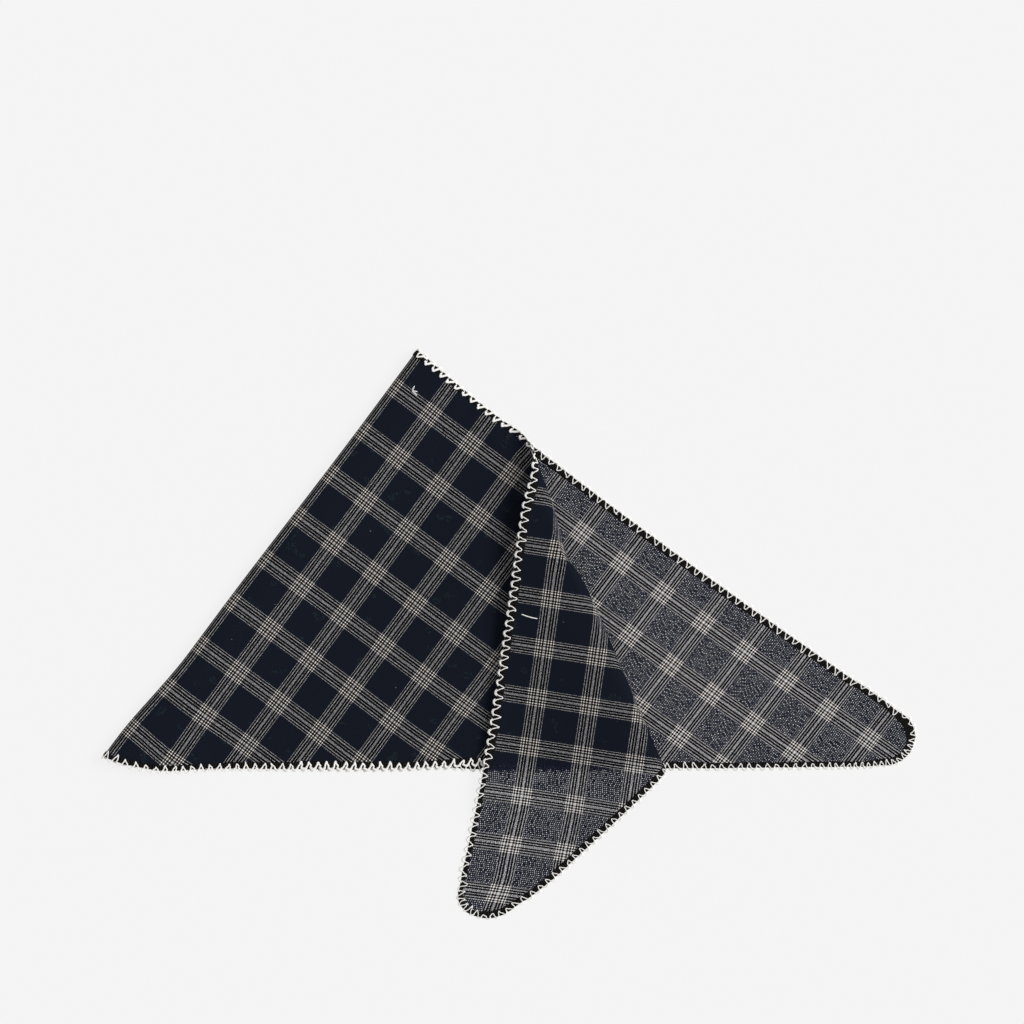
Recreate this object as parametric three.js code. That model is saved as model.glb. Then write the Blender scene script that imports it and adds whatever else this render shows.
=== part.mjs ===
// A triangle scarf of thin checked cotton, lying flat: folded in two across its middle, with one
// side corner turned back over the fold. A scalloped yarn edging runs all the way round it.
//
// Units are millimetres and +Z is up. The scarf rests on the plane Z = 0.
//
// Every point of the scarf is first given on the flat, uncut-open cloth: u runs along the long edge
// from its middle, v runs from the long edge towards the back corner. foldedPoint() carries a flat
// point to its place in the folded scarf, so the cloth and its edging share the same folds.

import * as THREE from 'three';

const { clamp, degToRad, lerp, smoothstep } = THREE.MathUtils;

// The cut of the cloth. Its corners are given as sharp points and then rounded off.
const CORNER_RIGHT = new THREE.Vector2(556, 3.2);
const CORNER_LEFT = new THREE.Vector2(-551, 3.2);
const CORNER_BACK = new THREE.Vector2(0, 415);
const SIDE_CORNER_RADIUS = 22;
const BACK_CORNER_RADIUS = 35;
const LONG_EDGE_BOW = 100; // half the stretch of long edge that bows out to v = 0 at its middle

// Thicknesses.
const CLOTH_THICKNESS = 1.2;
const EDGING_THICKNESS = 2.0;

// The yarn edging, measured outwards from the cloth's edge.
const EDGING_GAP = 0.35;
const EDGING_VALLEY = 2.2;
const EDGING_CREST = 3.8;
const SCALLOPS = 286;

// Where the folded scarf lies: the middle of the long edge, and how far u is turned below +X.
const MIDDLE = new THREE.Vector2(-78.1, 226.4);
const TURN = degToRad(36.6);

// Heights of the middle of the cloth's thickness, layer by layer.
const LOWER_HEIGHT = CLOTH_THICKNESS / 2;
const UPPER_HEIGHT = 3.4;
const FLAP_HEIGHT = 7.6;

// The first fold lies on u = 0 and the upper layer settles down beyond its soft roll.
const FIRST_ROLL_RADIUS = 6;
const FIRST_SETTLE = 80;

// The second fold starts near the long edge and is given on the upper layer as it lies.
const SECOND_FOLD_START = new THREE.Vector2(119, 9);
const SECOND_FOLD_TURN = degToRad(30.2);
const SECOND_ROLL_RADIUS = 9;
const SECOND_SETTLE = 95;

// The roll is dented at one place along the fold, where its outermost line runs further in.
const DENT_DEPTH = 5;
const DENT_AT = 88;
const DENT_SPREAD = 26;

// The lower layer has drifted a little out of square.
const LOWER_SAG = 4.1;
const LOWER_SAG_SPAN = 450;
const LOWER_SHEAR = 4.7e-5;

// The flap draws back along the fold with its distance past it, its far end leans towards -X, and
// its upper end bows towards +X.
const FLAP_LEAN = 10;
const FLAP_LEAN_REACH = 170;
const FLAP_DRAW_BACK = 0.041;
const FLAP_BOW = 7;
const FLAP_BOW_SPREAD = 60;

// Beyond the lower layers the flap comes down to the surface between these two Y values.
const FLAP_LEAVES_Y = -114;
const FLAP_LANDS_Y = -164;

// The turned-back edge of the flap stands up a little along its first stretch.
const FLAP_LIFT = 3;
const FLAP_LIFT_LENGTH = 260;

// How finely the cloth is divided.
const COLUMNS = 12;
const TIP_ROWS = [14, 30, 46, 62, 78]; // degrees round a side corner
const ROLL_ROWS = 8;
const LOWER_ROWS = 24;
const UPPER_ROWS = 12;
const FLAP_ROWS = 10;
const OUTLINE_POINTS = 2400;

const QUARTER_ROLL = FIRST_ROLL_RADIUS * Math.PI / 2;
const foldAlong = new THREE.Vector2(Math.cos(SECOND_FOLD_TURN), Math.sin(SECOND_FOLD_TURN));
const foldOut = new THREE.Vector2(Math.sin(SECOND_FOLD_TURN), -Math.cos(SECOND_FOLD_TURN));

// Carries a point that lies in a layer, given by its distances along and across the scarf, to X, Y.
function place(along, across, height) {
  return new THREE.Vector3(
    MIDDLE.x + along * Math.cos(TURN) - across * Math.sin(TURN),
    MIDDLE.y - along * Math.sin(TURN) - across * Math.cos(TURN),
    height,
  );
}

// A fold's roll: how far in from the visible fold a point lies, and how high up the roll it is.
function firstRoll(distance) {
  if (distance >= QUARTER_ROLL) {
    return { inset: FIRST_ROLL_RADIUS + distance - QUARTER_ROLL, rise: FIRST_ROLL_RADIUS };
  }
  const angle = distance / FIRST_ROLL_RADIUS;
  return {
    inset: FIRST_ROLL_RADIUS * (1 - Math.cos(angle)),
    rise: FIRST_ROLL_RADIUS * Math.sin(angle),
  };
}

function lowerLayer(u, v) {
  const { inset, rise } = firstRoll(u);
  const sag = LOWER_SAG * Math.sin(Math.PI * inset / LOWER_SAG_SPAN);
  const height = LOWER_HEIGHT + FIRST_ROLL_RADIUS - rise;
  return place(inset * (1 - LOWER_SHEAR * v), v + sag, height);
}

function upperLayer(u, v) {
  const { inset, rise } = firstRoll(u);
  const rollTop = LOWER_HEIGHT + 2 * FIRST_ROLL_RADIUS;
  const settled = smoothstep(inset, FIRST_ROLL_RADIUS, FIRST_SETTLE);
  const height = rise < FIRST_ROLL_RADIUS
    ? LOWER_HEIGHT + FIRST_ROLL_RADIUS + rise
    : rollTop + (UPPER_HEIGHT - rollTop) * settled;
  const fromFold = new THREE.Vector2(inset, v).sub(SECOND_FOLD_START);
  const rolled = fromFold.dot(foldOut) + SECOND_ROLL_RADIUS;
  return rolled > 0 ? flap(fromFold.dot(foldAlong), rolled, height) : place(inset, v, height);
}

// The flap, by its distance along the second fold and its distance round and past the fold's roll.
function flap(along, rolled, base) {
  const angle = Math.min(rolled / SECOND_ROLL_RADIUS, Math.PI);
  const past = Math.max(rolled - Math.PI * SECOND_ROLL_RADIUS, 0);
  const dent = DENT_DEPTH * Math.exp(-(((along - DENT_AT) / DENT_SPREAD) ** 2));
  const back = (SECOND_ROLL_RADIUS - dent) * (1 - Math.sin(angle)) + dent + past;
  const forward = along - FLAP_DRAW_BACK * past;
  const point = place(
    SECOND_FOLD_START.x + foldAlong.x * forward - foldOut.x * back,
    SECOND_FOLD_START.y + foldAlong.y * forward - foldOut.y * back,
    base + SECOND_ROLL_RADIUS * (1 - Math.cos(angle)),
  );
  point.x += FLAP_BOW * Math.exp(-along / FLAP_BOW_SPREAD) * (angle / Math.PI);
  point.x -= FLAP_LEAN * (past / FLAP_LEAN_REACH) ** 4;
  const lift = FLAP_LIFT * Math.sin(Math.PI * clamp(along / FLAP_LIFT_LENGTH, 0, 1));
  const landed = smoothstep(-point.y, -FLAP_LEAVES_Y, -FLAP_LANDS_Y);
  const resting = FLAP_HEIGHT + lift + (LOWER_HEIGHT - FLAP_HEIGHT) * landed;
  point.z += (resting - point.z) * smoothstep(past, 0, SECOND_SETTLE);
  return point;
}

function foldedPoint(u, v) {
  return u > 0 ? lowerLayer(u, v) : upperLayer(-u, v);
}

// The direction that the cloth's right side faces at a flat point.
function facing(u, v) {
  const step = 0.02;
  const alongU = foldedPoint(u + step, v).sub(foldedPoint(u - step, v));
  const alongV = foldedPoint(u, v + step).sub(foldedPoint(u, v - step));
  return alongV.cross(alongU).normalize();
}

// Rounds one corner of a path that runs anticlockwise in u, v.
function roundCorner(path, before, corner, after, radius) {
  const arriving = corner.clone().sub(before).normalize();
  const leaving = after.clone().sub(corner).normalize();
  const turn = Math.acos(arriving.dot(leaving));
  const cutBack = radius * Math.tan(turn / 2);
  const start = corner.clone().addScaledVector(arriving, -cutBack);
  const centre = start.clone().add(new THREE.Vector2(-arriving.y, arriving.x).multiplyScalar(radius));
  const startAngle = Math.atan2(start.y - centre.y, start.x - centre.x);
  path.lineTo(start.x, start.y);
  path.absarc(centre.x, centre.y, radius, startAngle, startAngle + turn, false);
}

// The outline of the flat cloth, from the middle of its long edge.
function cutOutline() {
  const path = new THREE.Path();
  const inset = CORNER_RIGHT.y;
  path.moveTo(0, 0);
  path.bezierCurveTo(LONG_EDGE_BOW * 0.4, 0, LONG_EDGE_BOW * 0.5, inset, LONG_EDGE_BOW, inset);
  roundCorner(path, new THREE.Vector2(0, inset), CORNER_RIGHT, CORNER_BACK, SIDE_CORNER_RADIUS);
  roundCorner(path, CORNER_RIGHT, CORNER_BACK, CORNER_LEFT, BACK_CORNER_RADIUS);
  roundCorner(path, CORNER_BACK, CORNER_LEFT, new THREE.Vector2(0, inset), SIDE_CORNER_RADIUS);
  path.lineTo(-LONG_EDGE_BOW, inset);
  path.bezierCurveTo(-LONG_EDGE_BOW * 0.5, inset, -LONG_EDGE_BOW * 0.4, 0, 0, 0);
  return path;
}

// The stretch of a line that lies on the cloth, from the long edge's side to the back corner's.
function lineOnCloth(outline, through, direction) {
  const side = (point) => direction.cross(point.clone().sub(through));
  const ends = [];
  for (let i = 0; i < outline.length - 1; i += 1) {
    const here = side(outline[i]);
    const next = side(outline[i + 1]);
    if (here * next < 0 || here === 0) {
      ends.push(outline[i].clone().lerp(outline[i + 1], here / (here - next)));
    }
  }
  ends.sort((a, b) => a.dot(direction) - b.dot(direction));
  return { start: ends[0], end: ends[ends.length - 1] };
}

// The lines that divide the cloth, from its right tip to its left tip.
function dividingLines(outline) {
  const straight = new THREE.Vector2(0, 1);
  const lines = [];
  const addStraight = (u) => lines.push({ through: new THREE.Vector2(u, 0), direction: straight });

  const tipRight = Math.max(...outline.map((point) => point.x));
  const lowerEnd = tipRight - SIDE_CORNER_RADIUS;
  for (const degrees of TIP_ROWS) {
    addStraight(tipRight - SIDE_CORNER_RADIUS * (1 - Math.cos(degToRad(degrees))));
  }
  for (let i = 0; i < LOWER_ROWS; i += 1) {
    addStraight(lerp(lowerEnd, QUARTER_ROLL, i / LOWER_ROWS));
  }
  for (let i = 0; i <= ROLL_ROWS; i += 1) {
    addStraight(lerp(QUARTER_ROLL, -QUARTER_ROLL, i / ROLL_ROWS));
  }

  // From here on the lines turn towards the second fold, and then run along it.
  const direction = new THREE.Vector2(-foldAlong.x, foldAlong.y);
  const out = new THREE.Vector2(-foldOut.x, foldOut.y);
  const flatInset = SECOND_FOLD_START.x + QUARTER_ROLL - FIRST_ROLL_RADIUS;
  const flatStart = new THREE.Vector2(-flatInset, SECOND_FOLD_START.y);
  const lineAlongFold = (distance) => ({
    through: flatStart.clone().addScaledVector(out, distance - SECOND_ROLL_RADIUS),
    direction,
  });
  const firstAlong = lineOnCloth(outline, lineAlongFold(0).through, direction).start;
  for (let i = 1; i < UPPER_ROWS; i += 1) {
    const share = i / UPPER_ROWS;
    const through = new THREE.Vector2(-QUARTER_ROLL, 0).lerp(firstAlong, share);
    const turn = share * (direction.angle() - straight.angle());
    lines.push({ through, direction: straight.clone().rotateAround(new THREE.Vector2(), turn) });
  }
  const roll = Math.PI * SECOND_ROLL_RADIUS;
  for (let i = 0; i <= ROLL_ROWS; i += 1) {
    lines.push(lineAlongFold(roll * i / ROLL_ROWS));
  }
  const distances = outline.map((point) => point.clone().sub(flatStart).dot(out));
  const tipLeft = Math.max(...distances) + SECOND_ROLL_RADIUS;
  const flapEnd = tipLeft - SIDE_CORNER_RADIUS;
  for (let i = 1; i < FLAP_ROWS; i += 1) {
    lines.push(lineAlongFold(lerp(roll, flapEnd, i / FLAP_ROWS)));
  }
  for (const degrees of [90, ...TIP_ROWS.toReversed()]) {
    lines.push(lineAlongFold(tipLeft - SIDE_CORNER_RADIUS * (1 - Math.cos(degToRad(degrees)))));
  }
  return lines;
}

// A closed sheet: rows of flat points, folded and thickened to both sides of the cloth's middle.
function sheetGeometry(rows, thickness, isLoop) {
  const columns = rows[0].length;
  const positions = [];
  for (const row of rows) {
    for (const flat of row) {
      const middle = foldedPoint(flat.x, flat.y);
      middle.z = Math.max(middle.z, thickness / 2);
      const offset = facing(flat.x, flat.y).multiplyScalar(thickness / 2);
      positions.push(...middle.clone().add(offset), ...middle.clone().sub(offset));
    }
  }
  const faces = [];
  const RIGHT_SIDE = 0;
  const WRONG_SIDE = 1;
  const at = (row, column, side) => ((row % rows.length) * columns + column) * 2 + side;
  const quad = (a, b, c, d) => faces.push(a, b, c, a, c, d);
  const last = columns - 1;
  const steps = isLoop ? rows.length : rows.length - 1;
  for (let r = 0; r < steps; r += 1) {
    const n = r + 1;
    for (let c = 0; c < last; c += 1) {
      quad(at(r, c, RIGHT_SIDE), at(n, c, RIGHT_SIDE), at(n, c + 1, RIGHT_SIDE), at(r, c + 1, RIGHT_SIDE));
      quad(at(r, c, WRONG_SIDE), at(r, c + 1, WRONG_SIDE), at(n, c + 1, WRONG_SIDE), at(n, c, WRONG_SIDE));
    }
    quad(at(r, 0, RIGHT_SIDE), at(r, 0, WRONG_SIDE), at(n, 0, WRONG_SIDE), at(n, 0, RIGHT_SIDE));
    quad(at(r, last, RIGHT_SIDE), at(n, last, RIGHT_SIDE), at(n, last, WRONG_SIDE), at(r, last, WRONG_SIDE));
  }
  if (!isLoop) {
    const end = rows.length - 1;
    for (let c = 0; c < last; c += 1) {
      quad(at(0, c, RIGHT_SIDE), at(0, c + 1, RIGHT_SIDE), at(0, c + 1, WRONG_SIDE), at(0, c, WRONG_SIDE));
      quad(
        at(end, c, RIGHT_SIDE), at(end, c, WRONG_SIDE),
        at(end, c + 1, WRONG_SIDE), at(end, c + 1, RIGHT_SIDE),
      );
    }
  }
  const geometry = new THREE.BufferGeometry();
  geometry.setAttribute('position', new THREE.Float32BufferAttribute(positions, 3));
  geometry.setIndex(faces);
  geometry.computeVertexNormals();
  return geometry;
}

function cloth() {
  const outline = cutOutline().getSpacedPoints(OUTLINE_POINTS);
  const rows = dividingLines(outline).map(({ through, direction }) => {
    const { start, end } = lineOnCloth(outline, through, direction);
    return Array.from({ length: COLUMNS + 1 }, (_, c) => start.clone().lerp(end, c / COLUMNS));
  });
  const material = new THREE.MeshStandardMaterial({ color: 0x1b1e29, roughness: 0.9, metalness: 0 });
  const mesh = new THREE.Mesh(sheetGeometry(rows, CLOTH_THICKNESS, false), material);
  mesh.name = 'scarf_cloth';
  return mesh;
}

// The edging is one strip round the cloth, with a valley and a crest for each scallop.
function edging() {
  const path = cutOutline();
  const stations = SCALLOPS * 2;
  const rows = [];
  for (let i = 0; i < stations; i += 1) {
    const point = path.getPoint(i / stations);
    const tangent = path.getTangent(i / stations);
    const outward = new THREE.Vector2(tangent.y, -tangent.x);
    const reach = i % 2 === 0 ? EDGING_VALLEY : EDGING_CREST;
    rows.push([
      point.clone().addScaledVector(outward, EDGING_GAP),
      point.clone().addScaledVector(outward, reach),
    ]);
  }
  const material = new THREE.MeshStandardMaterial({ color: 0xe9e4da, roughness: 0.85, metalness: 0 });
  const mesh = new THREE.Mesh(sheetGeometry(rows, EDGING_THICKNESS, true), material);
  mesh.name = 'yarn_edging';
  return mesh;
}

const scarf = new THREE.Group();
scarf.add(cloth(), edging());

export default scarf;
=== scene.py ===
"""The looks of the folded triangle scarf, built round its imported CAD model.

Every visible point of the scarf is first given on the flat cloth, in millimetres: u runs along the
long edge from its middle, v from the long edge towards the back corner. folded() carries a flat
point to its place in the folded scarf. The folds are those of the CAD model, and a few small bends
are added that only the scene has.
"""

import math

import bpy
import numpy as np
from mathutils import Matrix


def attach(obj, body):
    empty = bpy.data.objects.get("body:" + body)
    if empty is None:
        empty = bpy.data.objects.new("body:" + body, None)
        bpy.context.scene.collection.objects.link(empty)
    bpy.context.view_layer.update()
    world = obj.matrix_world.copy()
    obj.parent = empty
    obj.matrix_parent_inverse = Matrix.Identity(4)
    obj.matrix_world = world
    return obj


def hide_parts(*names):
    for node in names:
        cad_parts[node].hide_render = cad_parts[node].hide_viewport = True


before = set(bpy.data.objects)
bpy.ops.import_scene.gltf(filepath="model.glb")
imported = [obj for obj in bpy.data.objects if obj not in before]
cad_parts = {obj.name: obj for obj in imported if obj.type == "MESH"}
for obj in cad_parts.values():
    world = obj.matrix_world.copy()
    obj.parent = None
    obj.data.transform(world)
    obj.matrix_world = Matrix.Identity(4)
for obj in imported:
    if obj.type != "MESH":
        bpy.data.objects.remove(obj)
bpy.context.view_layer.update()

MM = 0.001
ROUNDING = 1e-9
rng = np.random.default_rng(7)

# ---------------------------------------------------------------- the cut and the folds, as in CAD

# The cut of the cloth. Its corners are given as sharp points and then rounded off.
CORNER_RIGHT = np.array([556.0, 3.2])
CORNER_LEFT = np.array([-551.0, 3.2])
CORNER_BACK = np.array([0.0, 415.0])
SIDE_CORNER_RADIUS = 22.0
BACK_CORNER_RADIUS = 35.0

# Half the stretch of long edge that bows out to v = 0 at its middle, and its curve's two handles.
LONG_EDGE_BOW = 100.0
BOW_HANDLES = (0.4, 0.5)

# Where the folded scarf lies: the middle of the long edge, and how far u is turned below +X.
MIDDLE = (-78.1, 226.4)
TURN = math.radians(36.6)

# Heights of the middle of the cloth's thickness, layer by layer.
LOWER_HEIGHT = 0.6
UPPER_HEIGHT = 3.4
FLAP_HEIGHT = 7.6

# The first fold lies on u = 0, and the upper layer settles down beyond its soft roll.
FIRST_ROLL_RADIUS = 6.0
FIRST_SETTLE = 80.0

# The second fold starts near the long edge and is given on the upper layer as it lies. Its roll is
# dented at one place along the fold.
SECOND_FOLD_START = (119.0, 9.0)
SECOND_FOLD_TURN = math.radians(30.2)
SECOND_ROLL_RADIUS = 9.0
SECOND_SETTLE = 95.0
DENT_DEPTH = 5.0
DENT_AT = 88.0
DENT_SPREAD = 26.0

# The lower layer has drifted a little out of square.
LOWER_SAG = 4.1
LOWER_SAG_SPAN = 450.0
LOWER_SHEAR = 4.7e-5

# The flap draws back along the fold with its distance past it, its far end leans towards -X, and
# its upper end bows towards +X.
FLAP_DRAW_BACK = 0.041
FLAP_LEAN = 10.0
FLAP_LEAN_REACH = 170.0
FLAP_BOW = 7.0
FLAP_BOW_SPREAD = 60.0

# Beyond the lower layers the flap comes down to the surface between these two Y values. Its
# turned-back edge stands up a little along its first stretch.
FLAP_LEAVES_Y = -114.0
FLAP_LANDS_Y = -164.0
FLAP_LIFT = 3.0
FLAP_LIFT_LENGTH = 260.0

# The cloth that a quarter turn of the first roll takes up, and half a turn of the second. The second
# fold starts FIRST_FLAT away from the first on the flat cloth, and ALONG and OUT are its directions.
FIRST_QUARTER = FIRST_ROLL_RADIUS * math.pi / 2
SECOND_HALF = SECOND_ROLL_RADIUS * math.pi
FIRST_FLAT = SECOND_FOLD_START[0] + FIRST_QUARTER - FIRST_ROLL_RADIUS
ALONG = (math.cos(SECOND_FOLD_TURN), math.sin(SECOND_FOLD_TURN))
OUT = (math.sin(SECOND_FOLD_TURN), -math.cos(SECOND_FOLD_TURN))

# ---------------------------------------------------------------- the small bends, not in CAD

# The first fold bows in at its upper end and out at its lower one, where the back corner is drawn
# up a little. Each bow has a size, a stretch of v over which it fades, and another away from the fold.
BOW_IN = 2.2
BOW_IN_FADE = (70.0, 260.0)
BOW_IN_REACH = (5.0, 60.0)
BOW_OUT = 5.6
BOW_OUT_FADE = (300.0, 390.0)
BOW_OUT_REACH = (4.0, 38.0)
CORNER_RISE = 1.5

# Where the low edge of each layer hangs a little further down: middle, reach and depth. The waves
# come in between two Y values.
UPPER_WAVES = ((-270.0, 24.0, 2.2), (-112.0, 48.0, 1.2), (-27.0, 32.0, -2.6))
LOWER_WAVES = ((-58.0, 26.0, -1.8),)
WAVES_FADE_Y = (-30.0, -100.0)

# The flap's tip leans towards -X, and its neck, the narrow upper end, is pulled that way too.
TIP_LEAN = 5.0
TIP_LEAN_Y = (-190.0, -232.0)
NECK_PULL = 2.2
NECK_Y = 112.0
NECK_REACH = 60.0
NECK_FADE = (0.0, 15.0)

# The yarn under the edge lifts the cloth there, most where it lies on the floor.
EDGE_LIFT_LOW = 0.62
EDGE_LIFT_HIGH = 0.25
EDGE_LIFT_REACH = (4.0, 16.0)
EDGE_LIFT_FADE_Z = (LOWER_HEIGHT, LOWER_HEIGHT + 1.5)


def smoothstep(x, low, high):
    t = np.clip((x - low) / (high - low), 0.0, 1.0)
    return t * t * (3.0 - 2.0 * t)


def downwards(y, fade):
    """Rises from 0 to 1 as y falls from the first to the second value of fade."""
    return smoothstep(-y, -fade[0], -fade[1])


def place(along, across):
    """Carries distances along and across the lying scarf to X and Y."""
    x = MIDDLE[0] + along * math.cos(TURN) - across * math.sin(TURN)
    y = MIDDLE[1] - along * math.sin(TURN) - across * math.cos(TURN)
    return x, y


def first_roll(distance):
    """How far in from the first fold a point lies, and how high up its roll it is."""
    angle = np.minimum(distance / FIRST_ROLL_RADIUS, math.pi / 2)
    beyond = np.maximum(distance - FIRST_QUARTER, 0.0)
    inset = FIRST_ROLL_RADIUS * (1.0 - np.cos(angle)) + beyond
    return inset, FIRST_ROLL_RADIUS * np.sin(angle)


def bowed(inset, v):
    """Where a point near the first fold goes as the fold bows."""
    upper = (1.0 - smoothstep(v, *BOW_IN_FADE)) * (1.0 - smoothstep(inset, *BOW_IN_REACH))
    lower = smoothstep(v, *BOW_OUT_FADE) * (1.0 - smoothstep(inset, *BOW_OUT_REACH))
    return inset + BOW_IN * upper - BOW_OUT * lower, v - CORNER_RISE * lower


def waved(points, waves):
    """Points after the low edge of their layer has been given its waves."""
    x, y = points[..., 0], points[..., 1]
    drop = sum(depth * np.exp(-(((x - middle) / reach) ** 2)) for middle, reach, depth in waves)
    fall = downwards(y, WAVES_FADE_Y) * drop
    return points - np.stack([np.zeros_like(x), fall, np.zeros_like(x)], axis=-1)


def lower_layer(inset, rise, v):
    """The layer below, by the distance in from the first fold, the height up its roll, and v."""
    sag = LOWER_SAG * np.sin(math.pi * inset / LOWER_SAG_SPAN)
    inset, v = bowed(inset, v)
    x, y = place(inset * (1.0 - LOWER_SHEAR * v), v + sag)
    return np.stack([x, y, LOWER_HEIGHT + FIRST_ROLL_RADIUS - rise], axis=-1)


def upper_layer(inset, rise, v):
    """The layer above with the flap that is turned back over it, given as the layer below is."""
    roll_top = LOWER_HEIGHT + 2.0 * FIRST_ROLL_RADIUS
    settled = smoothstep(inset, FIRST_ROLL_RADIUS, FIRST_SETTLE)
    on_roll = rise < FIRST_ROLL_RADIUS * (1.0 - ROUNDING)
    height = np.where(
        on_roll,
        LOWER_HEIGHT + FIRST_ROLL_RADIUS + rise,
        roll_top + (UPPER_HEIGHT - roll_top) * settled,
    )
    x, y = place(*bowed(inset, v))
    lying = waved(np.stack([x, y, height], axis=-1), UPPER_WAVES)
    from_u = inset - SECOND_FOLD_START[0]
    from_v = v - SECOND_FOLD_START[1]
    rolled = from_u * OUT[0] + from_v * OUT[1] + SECOND_ROLL_RADIUS
    turned = flap(from_u * ALONG[0] + from_v * ALONG[1], np.maximum(rolled, 0.0), height)
    return np.where((rolled > 0.0)[..., None], turned, lying)


def flap(along, rolled, base):
    """The flap, by its distance along the second fold and its distance round and past the roll."""
    angle = np.minimum(rolled / SECOND_ROLL_RADIUS, math.pi)
    past = np.maximum(rolled - SECOND_HALF, 0.0)
    dent = DENT_DEPTH * np.exp(-(((along - DENT_AT) / DENT_SPREAD) ** 2))
    back = (SECOND_ROLL_RADIUS - dent) * (1.0 - np.sin(angle)) + dent + past
    forward = along - FLAP_DRAW_BACK * past
    x, y = place(
        SECOND_FOLD_START[0] + ALONG[0] * forward - OUT[0] * back,
        SECOND_FOLD_START[1] + ALONG[1] * forward - OUT[1] * back,
    )
    z = base + SECOND_ROLL_RADIUS * (1.0 - np.cos(angle))
    neck = np.exp(-(((y - NECK_Y) / NECK_REACH) ** 2))
    x = x + FLAP_BOW * np.exp(-along / FLAP_BOW_SPREAD) * (angle / math.pi)
    x = x - FLAP_LEAN * (past / FLAP_LEAN_REACH) ** 4
    x = x - NECK_PULL * neck * smoothstep(past, *NECK_FADE)
    x = x - TIP_LEAN * downwards(y, TIP_LEAN_Y)
    lift = FLAP_LIFT * np.sin(math.pi * np.clip(along / FLAP_LIFT_LENGTH, 0.0, 1.0))
    landed = downwards(y, (FLAP_LEAVES_Y, FLAP_LANDS_Y))
    resting = FLAP_HEIGHT + lift + (LOWER_HEIGHT - FLAP_HEIGHT) * landed
    z = z + (resting - z) * smoothstep(past, 0.0, SECOND_SETTLE)
    return np.stack([x, y, z], axis=-1)


def folded(u, v):
    """The places in the folded scarf of points on the flat cloth."""
    inset, rise = first_roll(np.abs(u))
    lower = waved(lower_layer(inset, rise, v), LOWER_WAVES)
    upper = upper_layer(inset, rise, v)
    return np.where((u > 0.0)[..., None], lower, upper)


def facing(u, v):
    """The direction that the cloth's right side faces at each flat point."""
    step = 0.05
    along_u = folded(u + step, v) - folded(u - step, v)
    along_v = folded(u, v + step) - folded(u, v - step)
    normal = np.cross(along_v, along_u)
    return normal / np.linalg.norm(normal, axis=-1, keepdims=True)


def edge_lift(z, depth):
    """How much higher the cloth lies because of the yarn under its edge."""
    near_edge = 1.0 - smoothstep(depth, *EDGE_LIFT_REACH)
    low = 1.0 - smoothstep(z, *EDGE_LIFT_FADE_Z)
    return near_edge * (EDGE_LIFT_HIGH + (EDGE_LIFT_LOW - EDGE_LIFT_HIGH) * low)


def lay(u, v, depth, height):
    """Places flat points that stand out from the cloth's right side by height, in metres."""
    points = folded(u, v)
    points[..., 2] += edge_lift(points[..., 2], depth)
    return (points + facing(u, v) * np.asarray(height)[..., None]) * MM


# ---------------------------------------------------------------- the outline of the flat cloth

OUTLINE_STEP = 0.5
CURVE_POINTS = 240


def straight(a, b):
    count = max(int(np.linalg.norm(b - a) / OUTLINE_STEP), 1)
    return a + (b - a) * np.linspace(0.0, 1.0, count, endpoint=False)[:, None]


def bezier(a, b, c, d):
    t = np.linspace(0.0, 1.0, CURVE_POINTS, endpoint=False)[:, None]
    return a * (1 - t) ** 3 + 3 * b * t * (1 - t) ** 2 + 3 * c * t**2 * (1 - t) + d * t**3


def rounded_corner(before, corner, after, radius):
    """The points of a rounded corner on a path that runs anticlockwise in u, v."""
    arriving = (corner - before) / np.linalg.norm(corner - before)
    leaving = (after - corner) / np.linalg.norm(after - corner)
    turn = math.acos(arriving @ leaving)
    start = corner - arriving * radius * math.tan(turn / 2)
    centre = start + radius * np.array([-arriving[1], arriving[0]])
    first = math.atan2(start[1] - centre[1], start[0] - centre[0])
    angles = np.linspace(first, first + turn, int(radius * turn / OUTLINE_STEP) + 1)
    return centre + radius * np.stack([np.cos(angles), np.sin(angles)], axis=-1)


def cut_outline():
    """Points round the flat cloth from the middle of its long edge, their outward directions, and
    the distance of each along the edge."""
    inset = CORNER_RIGHT[1]
    bow_right = np.array([LONG_EDGE_BOW, inset])
    bow_left = np.array([-LONG_EDGE_BOW, inset])
    middle = np.zeros(2)
    near = np.array([LONG_EDGE_BOW * BOW_HANDLES[0], 0.0])
    far = np.array([LONG_EDGE_BOW * BOW_HANDLES[1], inset])
    flip = np.array([-1.0, 1.0])
    right = rounded_corner(bow_right, CORNER_RIGHT, CORNER_BACK, SIDE_CORNER_RADIUS)
    back = rounded_corner(CORNER_RIGHT, CORNER_BACK, CORNER_LEFT, BACK_CORNER_RADIUS)
    left = rounded_corner(CORNER_BACK, CORNER_LEFT, bow_left, SIDE_CORNER_RADIUS)
    points = np.concatenate(
        [
            bezier(middle, near, far, bow_right),
            straight(bow_right, right[0]),
            right[:-1],
            straight(right[-1], back[0]),
            back[:-1],
            straight(back[-1], left[0]),
            left[:-1],
            straight(left[-1], bow_left),
            bezier(bow_left, far * flip, near * flip, middle),
        ]
    )
    tangent = np.roll(points, -1, axis=0) - np.roll(points, 1, axis=0)
    tangent /= np.linalg.norm(tangent, axis=1, keepdims=True)
    outward = np.stack([tangent[:, 1], -tangent[:, 0]], axis=-1)
    lengths = np.linalg.norm(np.roll(points, -1, axis=0) - points, axis=1)
    distance = np.concatenate([[0.0], np.cumsum(lengths)])
    return points, outward, distance


outline, outline_outward, outline_distance = cut_outline()
perimeter = outline_distance[-1]

# Where the three corners are along the edge.
TIP_RIGHT = outline_distance[np.argmax(outline[:, 0])]
TIP_BACK = outline_distance[np.argmax(outline[:, 1])]
TIP_LEFT = outline_distance[np.argmin(outline[:, 0])]

# Distances to an outline are measured to every so many of its points, for so many places at once.
OUTLINE_SKIP = 4
CHUNK = 2000


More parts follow.
